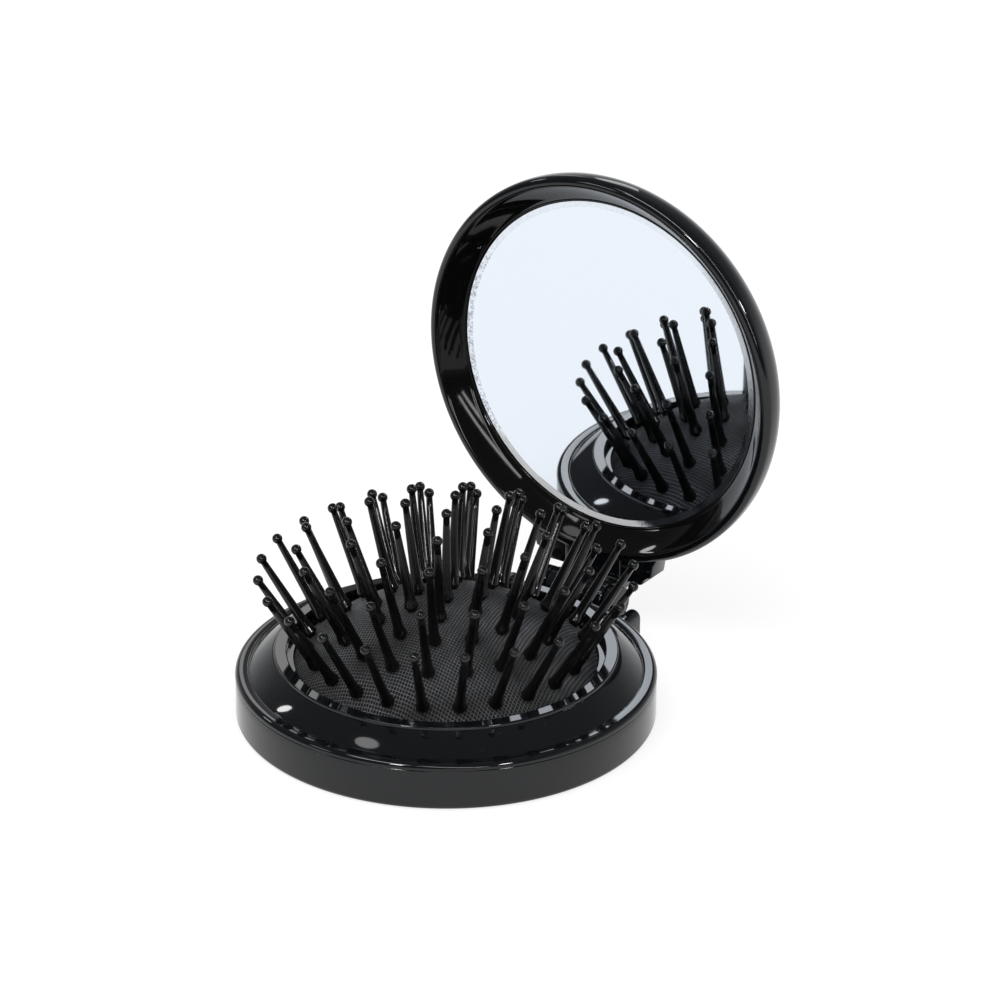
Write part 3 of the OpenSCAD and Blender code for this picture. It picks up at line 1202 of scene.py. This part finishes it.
@dataclass
class Cushion:
    """Push cup and the domed rubber cushion that stands in it."""

    wardrobe: Wardrobe
    feet: Sequence[Point]
    dome: Dome = field(default_factory=Dome)
    skirt_z: float = 1.4
    rings: int = 52
    gather_reach: float = 3.2
    gather_depth: float = 0.16
    gather_width: float = 1.5
    bore_r: float = 25.2
    cup_top: float = 9.5
    cup_wall: float = 0.7
    recess: float = 0.3
    floor: float = 0.9

    @property
    def pad_r(self) -> float:
        """Radius of the cushion's edge."""
        return self.bore_r - 0.6 - self.cup_wall - 0.1

    def build(self) -> None:
        """Models and dresses the cup and the cushion."""
        self._cup()
        self._dome()

    def _cup(self) -> None:
        """Models the cup that is pushed up from below."""
        outer = self.bore_r - 0.6
        bead = self.bore_r - 0.12
        inner = outer - self.cup_wall
        base = self.recess
        profile = (
            [(inner * 0.8, base)]
            + arc((outer - 0.8, base + 0.8), 0.8, -90, 0, 6)
            + [(outer, self.cup_top - 0.85), (bead - 0.12, self.cup_top - 0.75)]
            + [(bead, self.cup_top - 0.62), (bead, self.cup_top - 0.15), (bead - 0.13, self.cup_top)]
            + [(inner, self.cup_top), (inner, base + self.floor), (inner * 0.5, base + self.floor)]
        )
        obj = Bench.turn("push_cup_shell", profile, closed=False, cap_start=True, cap_end=True)
        Bench.settle(obj, angle=40)
        self.wardrobe.dress(obj, self.wardrobe.shell)
        report(obj, Body.CUP.value, Slot.SHELL, "push_cup")

    def _dome(self) -> None:
        """Models the cushion, gathered slightly round every pin's foot."""
        edge = self.dome.height(self.pad_r) - 0.6
        radii = [self.pad_r * math.sin(math.pi / 2 * i / self.rings) for i in range(self.rings, 2, -1)]
        profile = [(self.pad_r, self.skirt_z), (self.pad_r, edge - 1.5), (self.pad_r, edge)]
        profile += [(r, self.dome.height(r)) for r in radii]
        obj = Bench.turn("cushion_dome", profile, steps=144, closed=False, cap_start=True, cap_end=True)
        for vertex in obj.data.vertices:
            x, y = vertex.co.x / MM, vertex.co.y / MM
            out = math.hypot(x, y)
            if vertex.co.z / MM < edge - 0.1 or out > self.pad_r - 0.3:
                continue
            vertex.co.z = (self.dome.height(out) + self._gather(x, y)) * MM
        Bench.settle(obj, angle=50)
        self.wardrobe.dress(obj, self.wardrobe.rubber)
        report(obj, Body.CUP.value, Slot.CUSHION, "cushion_pad")
        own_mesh(obj)

    def _gather(self, x: float, y: float) -> float:
        """How far the rubber rises or sinks at a place because of the pins near it.

        Args:
            x: Place in millimetres.
            y: Place in millimetres.

        Returns:
            The rise in millimetres.
        """
        shift = 0.0
        for fx, fy in self.feet:
            away = math.hypot(x - fx, y - fy)
            if away < self.gather_reach:
                shift -= self.gather_depth * math.exp(-((away / self.gather_width) ** 2))
        return shift


@dataclass
class PinField:
    """The sixty-one ball-tipped pins in five rings, fanned out from the middle."""

    wardrobe: Wardrobe
    dome: Dome = field(default_factory=Dome)
    phase: float = -4.0
    length: float = 14.9
    ball_r: float = 0.82
    tip_r: float = 0.5
    root_r: float = 0.82
    foot_r: float = 1.15
    root_z: float = 2.2
    flash: float = 0.045
    rings: tuple[tuple[int, float, float], ...] = (
        (1, 0.0, 0.0),
        (6, 5.7, 10.0),
        (12, 11.0, 18.0),
        (18, 16.5, 26.7),
        (24, 21.3, 32.0),
    )

    def places(self, ring: int) -> list[Matrix]:
        """Where each pin of a ring stands.

        Args:
            ring: Number of the ring, 0 at the middle.

        Returns:
            One placing for each pin, in millimetres.
        """
        count, out, lean = self.rings[ring]
        height = self.dome.height(out)
        found = []
        for k in range(count):
            spin = Matrix.Rotation(math.radians(self.phase + 360 / count * k), 4, "Z")
            stand = Matrix.Translation((out, 0, height))
            found.append(spin @ stand @ Matrix.Rotation(math.radians(lean), 4, "Y"))
        return found

    def feet(self) -> list[Point]:
        """Where every pin leaves the cushion, in millimetres."""
        return [tuple(m.translation[:2]) for ring in range(len(self.rings)) for m in self.places(ring)]

    def build(self) -> None:
        """Models one pin and lays its copies out ring by ring."""
        pattern = self._pattern()
        single = ((Body.CENTRE, "pin_centre"), (Body.RING_1, "pins_ring_1"), (Body.RING_2, "pins_ring_2"))
        bodies = [(body.value, node, self.places(ring)) for ring, (body, node) in enumerate(single)]
        for ring in (3, 4):
            placed = self.places(ring)
            for pair in range(len(placed) // 2):
                word = f"ring_{ring}_{pair + 1:02d}"
                bodies.append((word, f"pins_{word}", placed[2 * pair : 2 * pair + 2]))
        count = 0
        for body, node, placed in bodies:
            copies = []
            for place in placed:
                copies.append(self._copy(pattern, place, count))
                count += 1
            obj = Bench.join(copies)
            obj.name = node.replace("pins_", "bristles_").replace("pin_", "bristle_")
            obj.data.name = obj.name
            self.wardrobe.dress(obj, self.wardrobe.pins)
            report(obj, body, Slot.PIN, node)
        bpy.data.meshes.remove(pattern.data)
        LOG.info("%d pins stand on the cushion", count)

    def _pattern(self) -> bpy.types.Object:
        """Models the one pin that all are copied from: head, neck, foot, shaft and ball.

        Returns:
            The pin, standing on the origin.
        """
        taper = []
        for i in range(1, 8):
            z = self.root_z + (self.length - self.ball_r * 0.78 - self.root_z) * i / 7
            narrow = (self.tip_r - self.root_r) * (z - self.root_z) / (self.length - self.root_z)
            taper.append((self.root_r + narrow, z))
        start = -math.degrees(math.acos(min(1.0, (self.tip_r + 0.03) / self.ball_r)))
        ball = arc((0, self.length), self.ball_r, start, 78, 11)
        profile = (
            [(1.3, -1.74), (1.4, -1.66), (1.4, -1.36), (1.3, -1.3), (0.72, -1.3), (0.72, 0.2)]
            + [(self.foot_r - 0.12, 0.34), (self.foot_r, 0.5), (self.foot_r - 0.01, 0.72), (1.06, 1.05)]
            + [(0.93, 1.6), (self.root_r + 0.02, 2.15)]
            + taper
            + ball
        )
        obj = Bench.turn("pin_pattern", profile, steps=22, closed=False, cap_start=True, cap_end=True)
        self._flash(obj)
        Bench.settle(obj, angle=48)
        return obj

    def _flash(self, obj: bpy.types.Object) -> None:
        """Raises the faint parting ridge that the mould leaves on two sides of the shaft.

        Args:
            obj: The pin.
        """
        for vertex in obj.data.vertices:
            if vertex.co.z > 2 * MM and abs(vertex.co.y) < 1e-6 and abs(vertex.co.x) > 1e-5:
                vertex.co.x *= 1 + self.flash * MM / abs(vertex.co.x)

    def _copy(self, pattern: bpy.types.Object, place: Matrix, number: int) -> bpy.types.Object:
        """Copies the pin to a place, with the pattern's own coordinates kept as an attribute.

        Args:
            pattern: The pin to copy.
            place: Where it goes, in millimetres.
            number: Number of the pin, which shifts the grain from pin to pin.

        Returns:
            The copy, with its own mesh.
        """
        mesh = pattern.data.copy()
        own = mesh.attributes.new("pin_place", "FLOAT_VECTOR", "POINT")
        shift = Vector((0.013 * (number % 7), 0.017 * (number % 11), 0.05 * number))
        for i, vertex in enumerate(mesh.vertices):
            own.data[i].vector = vertex.co + shift
        grow = Matrix.Translation(place.translation * MM) @ place.to_3x3().to_4x4()
        mesh.transform(grow)
        obj = bpy.data.objects.new(f"pin_{number:02d}", mesh)
        bpy.context.collection.objects.link(obj)
        return obj


@dataclass
class MirrorLid:
    """Standing lid: outer shell, arm and knuckle, frame with its sloped wall, and the glass."""

    hinge: Hinge
    wardrobe: Wardrobe
    base_r: float = 33.0
    radius: float = 32.7
    rim_z: float = 8.1
    edge: float = 1.1
    mirror_depth: float = 3.9
    depth: float = 8.5
    shell_t: float = 1.3
    shell_round: float = 6.0
    crown: float = 0.8
    core_r: float = 3.0
    glass_r: float = 27.6
    glass_t: float = 1.3
    bevel: float = 1.1

    def build(self) -> None:
        """Models and dresses the whole lid."""
        self._cap()
        self._arm()
        self._frame()
        self._glass()

    @property
    def mirror_z(self) -> float:
        """Height of the glass's face when the lid is shut."""
        return self.rim_z + self.mirror_depth

    @property
    def lid_top(self) -> float:
        """Height of the lid's back when it is shut."""
        return self.rim_z + self.depth

    def _cap(self) -> None:
        """Models the lid's outer shell, a rounded cap that is hollow inside."""
        r, top = self.radius, self.lid_top
        inside = self.shell_round - self.shell_t
        cavity = r - self.shell_t
        outside = (
            arc((r - self.edge, self.rim_z + self.edge), self.edge, -90, 0, 8)
            + arc((r - self.shell_round, top - self.crown - self.shell_round), self.shell_round, 0, 84, 16)
            + self._crown(0.0)
        )
        hollow = (
            [(cavity, self.rim_z)]
            + arc((cavity - inside, top - self.crown - self.shell_round), inside, 0, 84, 8)
            + self._crown(self.shell_t + 0.05)
        )
        core = [(self.core_r, top - 0.02), (self.core_r, top - self.shell_t)]
        profile = outside + core + hollow[::-1]
        obj = Bench.turn("lid_cap", profile)
        self._close_hole(obj, self.core_r)
        Bench.settle(obj, self.hinge.opened(), angle=35)
        self.wardrobe.dress(obj, self.wardrobe.shell)
        report(obj, Body.LID.value, Slot.SHELL, "lid_shell")

    def _crown(self, down: float) -> list[Point]:
        """The slightly crowned back, from the rounding in to the middle.

        Args:
            down: How far below the outer surface.

        Returns:
            Points of the crown, from the outside in.
        """
        falls = ((0.75, 0.55), (0.6, 0.25), (0.45, 0.13), (0.3, 0.05), (0.15, 0.02))
        return [(self.radius * share, self.lid_top - fall - down) for share, fall in falls]

    @staticmethod
    def _close_hole(obj: bpy.types.Object, radius: float) -> None:
        """Takes out the bore that turning leaves in the middle and closes both skins.

        Args:
            obj: The turned piece.
            radius: Radius of the bore in millimetres.
        """
        Bench.pick(obj)
        bpy.ops.object.mode_set(mode="EDIT")
        mesh = bmesh.from_edit_mesh(obj.data)
        for face in mesh.faces:
            face.select = all(math.hypot(v.co.x, v.co.y) < (radius + 0.01) * MM for v in face.verts)
        bmesh.update_edit_mesh(obj.data)
        bpy.ops.mesh.delete(type="ONLY_FACE")
        Bench.select_rims()
        bpy.ops.mesh.edge_face_add()
        Bench.face_out(obj)
        bpy.ops.object.mode_set(mode="OBJECT")

    def _arm(self) -> None:
        """Models the flared bracket under the rim and the knuckle in its middle."""
        hinge, r, rim = self.hinge, self.base_r, self.rim_z
        back = hinge.y - 2.5
        bracket = (
            [(-12.2, r - 2.9), (-11.6, r - 1.7)]
            + arc((-11.6, back + 0.4), 2.2, -80, -15, 7)
            + [(-9, back), (9, back)]
            + arc((11.6, back + 0.4), 2.2, 195, 260, 7)
            + [(11.6, r - 1.7), (12.2, r - 2.9)]
            + arc((0, 0), self.radius - 0.6, 68.5, 111.5, 12)
        )
        plate = Bench.slab("lid_bracket", bracket, Plane.XY, rim + 0.4, rim + 4.4, 0.3)
        web = [
            (r - 1.5, rim + 0.1),
            (hinge.y - 2.5, rim + 0.1),
            (hinge.y - 2.3, hinge.z),
            (hinge.y, hinge.z),
            (hinge.y + 1.8, hinge.z + 2.2),
            (hinge.y - 0.8, rim + 3.6),
            (r - 1.5, rim + 4.2),
        ]
        half = hinge.knuckle_w / 2
        stem = Bench.slab("knuckle_web", web, Plane.YZ, -half, half, 0.3)
        eye = hinge.eye("knuckle_eye", hinge.knuckle_r, -half, half)
        arm = Bench.join([plate, stem, eye])
        arm.name = "lid_arm"
        Bench.settle(arm, hinge.opened())
        self.wardrobe.dress(arm, self.wardrobe.shell)
        report(arm, Body.LID.value, Slot.SHELL, "lid_shell")

    def _frame(self) -> None:
        """Models the frame inside the lid: rim lip, sloped wall and the bead round the glass."""
        z, g = self.mirror_z, self.glass_r
        cavity = self.radius - self.shell_t
        out = cavity - 0.1
        inside = self.shell_round - self.shell_t
        seat = z + self.glass_t + 0.4
        profile = (
            [(g - 3, seat), (g + 0.08, seat), (g + 0.08, z - 0.16)]
            + arc((g + 0.3, z - 0.2), 0.22, 165, 300, 9)
            + [(g + 0.5, z - 0.52), (g + 0.98, z - 0.98), (g + 1.5, z - 1.5), (g + 2.05, z - 2.08)]
            + [(g + 2.6, z - 2.7), (g + 3.1, z - 3.3)]
            + arc((out - 0.05, self.rim_z + 0.2), 0.2, 225, 262, 3)
            + [(out, self.rim_z + 0.05), (out, self.rim_z + 0.2)]
            + arc((cavity - inside, self.lid_top - self.crown - self.shell_round), inside - 0.3, 0, 68, 7)
            + [(g - 3, seat + 0.6)]
        )
        obj = Bench.turn("mirror_surround", profile)
        Bench.settle(obj, self.hinge.opened(), angle=45)
        self.wardrobe.dress(obj, self.wardrobe.surround)
        report(obj, Body.LID.value, Slot.SHELL, "mirror_frame")

    def _glass(self) -> None:
        """Models the glass with its ground bevel and puts the silver on its face."""
        g, z = self.glass_r, self.mirror_z
        profile = [
            (g - self.bevel - 6, z),
            (g - self.bevel, z),
            (g - self.bevel + 0.04, z - 0.003),
            (g - 0.06, z - 0.115),
            (g, z - 0.06),
            (g, z + self.glass_t),
            (g * 0.6, z + self.glass_t),
        ]
        obj = Bench.turn("mirror_plate", profile, steps=192, closed=False, cap_start=True, cap_end=True)
        self.wardrobe.dress(obj, self.wardrobe.silver, self.wardrobe.ground)
        edge = (g - self.bevel + 0.02) * MM
        for face in obj.data.polygons:
            middle = face.center
            face.material_index = 1 if math.hypot(middle.x, middle.y) > edge else 0
        Bench.settle(obj, self.hinge.opened(), angle=3)
        report(obj, Body.LID.value, Slot.SILVER, "mirror_glass")


@dataclass
class CarriedParts:
    """CAD nodes that stay as they are and only get their finish."""

    wardrobe: Wardrobe

    def build(self, nodes: dict[str, bpy.types.Object]) -> None:
        """Dresses the carried-over nodes.

        Args:
            nodes: The CAD nodes by name.
        """
        finishes = {"hinge_pin": self.wardrobe.steel, "mirror_tape": self.wardrobe.tape}
        for name, material in finishes.items():
            self.wardrobe.dress(nodes[name], material)
            LOG.info("%s: kept, with %s", name, material.name)


# ---------------------------------------------------------------------------------------------
# Studio
# ---------------------------------------------------------------------------------------------


@dataclass(frozen=True)
class Viewpoint:
    """The photograph's viewpoint, as fitted to the part."""

    azimuth: float = 35.52
    elevation: float = 26.29
    roll: float = -0.06
    distance: float = 750.0
    scale: float = 6.44
    middle: Point = (446.35, 594.91)
    anchor: tuple[float, float, float] = (0.0, 0.0, 20.0)
    side: float = 1000.0
    sensor: float = 36.0

    def build(self) -> bpy.types.Object:
        """Makes the scene's camera.

        Returns:
            The camera.
        """
        az, roll = math.radians(self.azimuth), math.radians(self.roll)
        back = bearing(self.azimuth, self.elevation)
        right = Vector((math.cos(az), math.sin(az), 0.0))
        up = back.cross(right)
        right, up = (
            right * math.cos(roll) + up * -math.sin(roll),
            right * math.sin(roll) + up * math.cos(roll),
        )
        focal = self.scale * self.distance
        aim = -back + right * ((self.side / 2 - self.middle[0]) / focal)
        aim += up * ((self.middle[1] - self.side / 2) / focal)
        behind = -aim.normalized()
        across = up.cross(behind).normalized()
        top = behind.cross(across)
        place = Vector(self.anchor) + back * self.distance
        data = bpy.data.cameras.new("studio_camera")
        data.sensor_width = self.sensor
        data.lens = focal * self.sensor / self.side
        data.clip_start = 0.01
        data.clip_end = 50.0
        camera = bpy.data.objects.new("studio_camera", data)
        turn = Matrix((across, top, behind)).transposed().to_4x4()
        camera.matrix_world = Matrix.Translation(place * MM) @ turn
        bpy.context.collection.objects.link(camera)
        bpy.context.scene.camera = camera
        return camera


@dataclass(frozen=True)
class Panel:
    """One soft lamp: where it hangs as seen from the object, its size in metres and its brightness."""

    name: str
    azimuth: float
    elevation: float
    distance: float
    width: float
    height: float
    radiance: float
    aside: float = 0.0
    tilt: float = 0.0
    oval: bool = False
    mirrored: bool = True


@dataclass
class Studio:
    """Pale table, white surround and soft lamps."""

    panels: tuple[Panel, ...] = (
        Panel("soft_overhead", 0, 68, 1.1, 0.9, 0.7, 2.2, mirrored=False),
        Panel("card_overhead", -41, 62, 0.9, 0.15, 0.11, 3.4, tilt=28, oval=True),
        Panel("card_front", -9, 52, 0.9, 0.46, 0.11, 11.0, tilt=-14),
        Panel("strip_right_upper", 41, 29, 0.9, 0.026, 0.80, 13.0, aside=-0.032, tilt=38),
        Panel("strip_right_lower", 41, 29, 0.9, 0.026, 0.80, 13.0, aside=0.032, tilt=38),
        Panel("spot_near_left", 8, 36, 0.9, 0.10, 0.10, 60.0, oval=True),
        Panel("spot_near_right", 68, 30, 0.9, 0.10, 0.10, 60.0, oval=True),
        Panel("card_left", -86, 33, 0.9, 0.05, 0.11, 12.0, oval=True),
        Panel("backdrop_left", -145, 27.5, 0.7, 0.12, 0.12, 1.7, aside=-0.1),
        Panel("backdrop_right", -145, 27.5, 0.7, 0.14, 0.12, 2.6, aside=0.085),
        Panel("card_in_mirror", -35.5, 26, 0.9, 0.17, 0.15, 4.0),
    )
    greys_behind: Stops = ((-0.05, 1.0), (0.07, 0.85), (0.26, 0.5), (0.42, 0.3), (0.7, 0.2))
    greys_ahead: Stops = ((-0.22, 0.95), (-0.08, 0.4), (0.02, 0.07), (0.3, 0.13), (0.7, 0.17))
    table_r: float = 0.6

    def build(self) -> None:
        """Sets up the whole studio."""
        self._floor()
        self._surround()
        for panel in self.panels:
            self._lamp(panel)
        Viewpoint().build()
        bpy.context.scene.view_settings.view_transform = "Standard"

    def _floor(self) -> None:
        """Lays a white table that keeps a soft shadow."""
        Bench.clear()
        bpy.ops.mesh.primitive_circle_add(
            vertices=96, radius=self.table_r, fill_type="NGON", location=(0, 0, 0)
        )
        floor = Bench.christen("studio_table")
        material = bpy.data.materials.new("table_white")
        material.use_nodes = True
        tree = material.node_tree
        tree.nodes.clear()
        matt = make_node(tree, "ShaderNodeBsdfDiffuse", {"Color": (0.8, 0.8, 0.8, 1)})
        pale = make_node(tree, "ShaderNodeBsdfDiffuse", {"Color": (0.3, 0.3, 0.3, 1)})
        glow = make_node(tree, "ShaderNodeEmission", {"Strength": 0.80})
        both = make_node(tree, "ShaderNodeAddShader", {0: pale.outputs[0], 1: glow.outputs[0]})
        mix = self._mix(tree, self._seen(tree, "Is Glossy Ray", "Is Transmission Ray"), matt, both)
        make_node(tree, "ShaderNodeOutputMaterial", {"Surface": mix.outputs[0]})
        floor.data.materials.append(material)

    @staticmethod
    def _seen(tree: bpy.types.NodeTree, *kinds: str) -> bpy.types.NodeSocket:
        """Tells rays that look at the background from those that only light the object.

        Args:
            tree: The node tree to work in.
            *kinds: Outputs of the Light Path node that count beside camera rays.

        Returns:
            A socket that is 1 for camera rays and rays of those kinds.
        """
        path = make_node(tree, "ShaderNodeLightPath", {})
        total = path.outputs["Is Camera Ray"]
        for kind in kinds:
            feeds = {0: total, 1: path.outputs[kind]}
            total = make_node(tree, "ShaderNodeMath", feeds, operation="MAXIMUM").outputs[0]
        return total

    @staticmethod
    def _mix(
        tree: bpy.types.NodeTree, share: bpy.types.NodeSocket, under: bpy.types.Node, over: bpy.types.Node
    ) -> bpy.types.Node:
        """Mixes two shaders.

        Args:
            tree: The node tree to work in.
            share: Socket with the share of the second.
            under: The first shader.
            over: The second shader.

        Returns:
            The mix's node.
        """
        return make_node(tree, "ShaderNodeMixShader", {0: share, 1: under.outputs[0], 2: over.outputs[0]})

    @staticmethod
    def _climb(
        tree: bpy.types.NodeTree, rise: bpy.types.NodeSocket, stops: Stops
    ) -> bpy.types.NodeSocket:
        """Makes a grey that changes from the table up to the ceiling.

        Args:
            tree: The node tree to work in.
            rise: Socket with the direction's height, from -1 to 1.
            stops: Heights with their greys.

        Returns:
            The colour's socket.
        """
        place = make_node(tree, "ShaderNodeMapRange", {"Value": rise, "From Min": -1.0})
        node = make_node(tree, "ShaderNodeValToRGB", {0: place.outputs["Result"]})
        ramp = node.color_ramp
        levels = [(height + 1) / 2 for height, _ in stops]
        ramp.elements[0].position = levels[0]
        ramp.elements[1].position = levels[-1]
        for level in levels[1:-1]:
            ramp.elements.new(level)
        for element, (_, grey) in zip(ramp.elements, stops):
            element.color = (grey * 0.985, grey, grey * 1.02, 1)
        return node.outputs[0]

    def _surround(self) -> None:
        """Makes the surround: white to the camera, graded in reflections and pale as a light."""
        world = bpy.data.worlds.new("studio_surround")
        bpy.context.scene.world = world
        world.use_nodes = True
        tree = world.node_tree
        tree.nodes.clear()
        path = make_node(tree, "ShaderNodeLightPath", {})
        where = make_node(tree, "ShaderNodeTexCoord", {})
        parts = make_node(tree, "ShaderNodeSeparateXYZ", {0: where.outputs["Generated"]})
        behind = self._climb(tree, parts.outputs["Z"], self.greys_behind)
        ahead = self._climb(tree, parts.outputs["Z"], self.greys_ahead)
        feeds = {"Value": parts.outputs["Y"], "From Min": -0.2, "From Max": 0.25}
        side = make_node(tree, "ShaderNodeMapRange", feeds).outputs["Result"]
        fade = make_node(tree, "ShaderNodeMix", {0: side, 6: ahead, 7: behind}, data_type="RGBA")
        glossy = make_node(tree, "ShaderNodeBackground", {"Color": fade.outputs[2]})
        soft = make_node(tree, "ShaderNodeBackground", {"Color": (0.62, 0.63, 0.65, 1)})
        white = make_node(tree, "ShaderNodeBackground", {"Color": (1, 1, 1, 1)})
        lit = self._mix(tree, path.outputs["Is Glossy Ray"], soft, glossy)
        whole = self._mix(tree, self._seen(tree, "Is Transmission Ray"), lit, white)
        make_node(tree, "ShaderNodeOutputWorld", {"Surface": whole.outputs[0]})

    @staticmethod
    def _lamp(panel: Panel) -> None:
        """Hangs one soft lamp that looks at the object.

        Args:
            panel: The lamp's place, size and brightness.
        """
        data = bpy.data.lights.new(panel.name, "AREA")
        data.shape = "ELLIPSE" if panel.oval else "RECTANGLE"
        data.size = panel.width
        data.size_y = panel.height
        data.energy = panel.radiance * math.pi * panel.width * panel.height
        lamp = bpy.data.objects.new(panel.name, data)
        way = bearing(panel.azimuth, panel.elevation)
        tilted = Matrix.Rotation(math.radians(panel.tilt), 4, way)
        across = tilted @ way.cross(Vector((0, 0, 1))).normalized()
        above = across.cross(way).normalized()
        place = Vector((0, 0, AIM_HEIGHT)) + way * panel.distance + across * panel.aside
        turn = Matrix((across, above, way)).transposed().to_4x4()
        lamp.matrix_world = Matrix.Translation(place) @ turn
        lamp.visible_glossy = panel.mirrored
        lamp.visible_diffuse = not panel.mirrored
        bpy.context.collection.objects.link(lamp)


def main() -> None:
    """Builds the studio and dresses the hairbrush, sub-assembly by sub-assembly."""
    logging.basicConfig(level=logging.INFO, format="%(name)s: %(message)s")
    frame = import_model()
    Studio().build()
    wardrobe = Wardrobe()
    hinge = Hinge()
    BaseHousing(hinge, wardrobe).build()
    pins = PinField(wardrobe)
    Cushion(wardrobe, pins.feet()).build()
    pins.build()
    MirrorLid(hinge, wardrobe).build()
    CarriedParts(wardrobe).build(frame["nodes"])


if __name__ == "__main__":
    main()
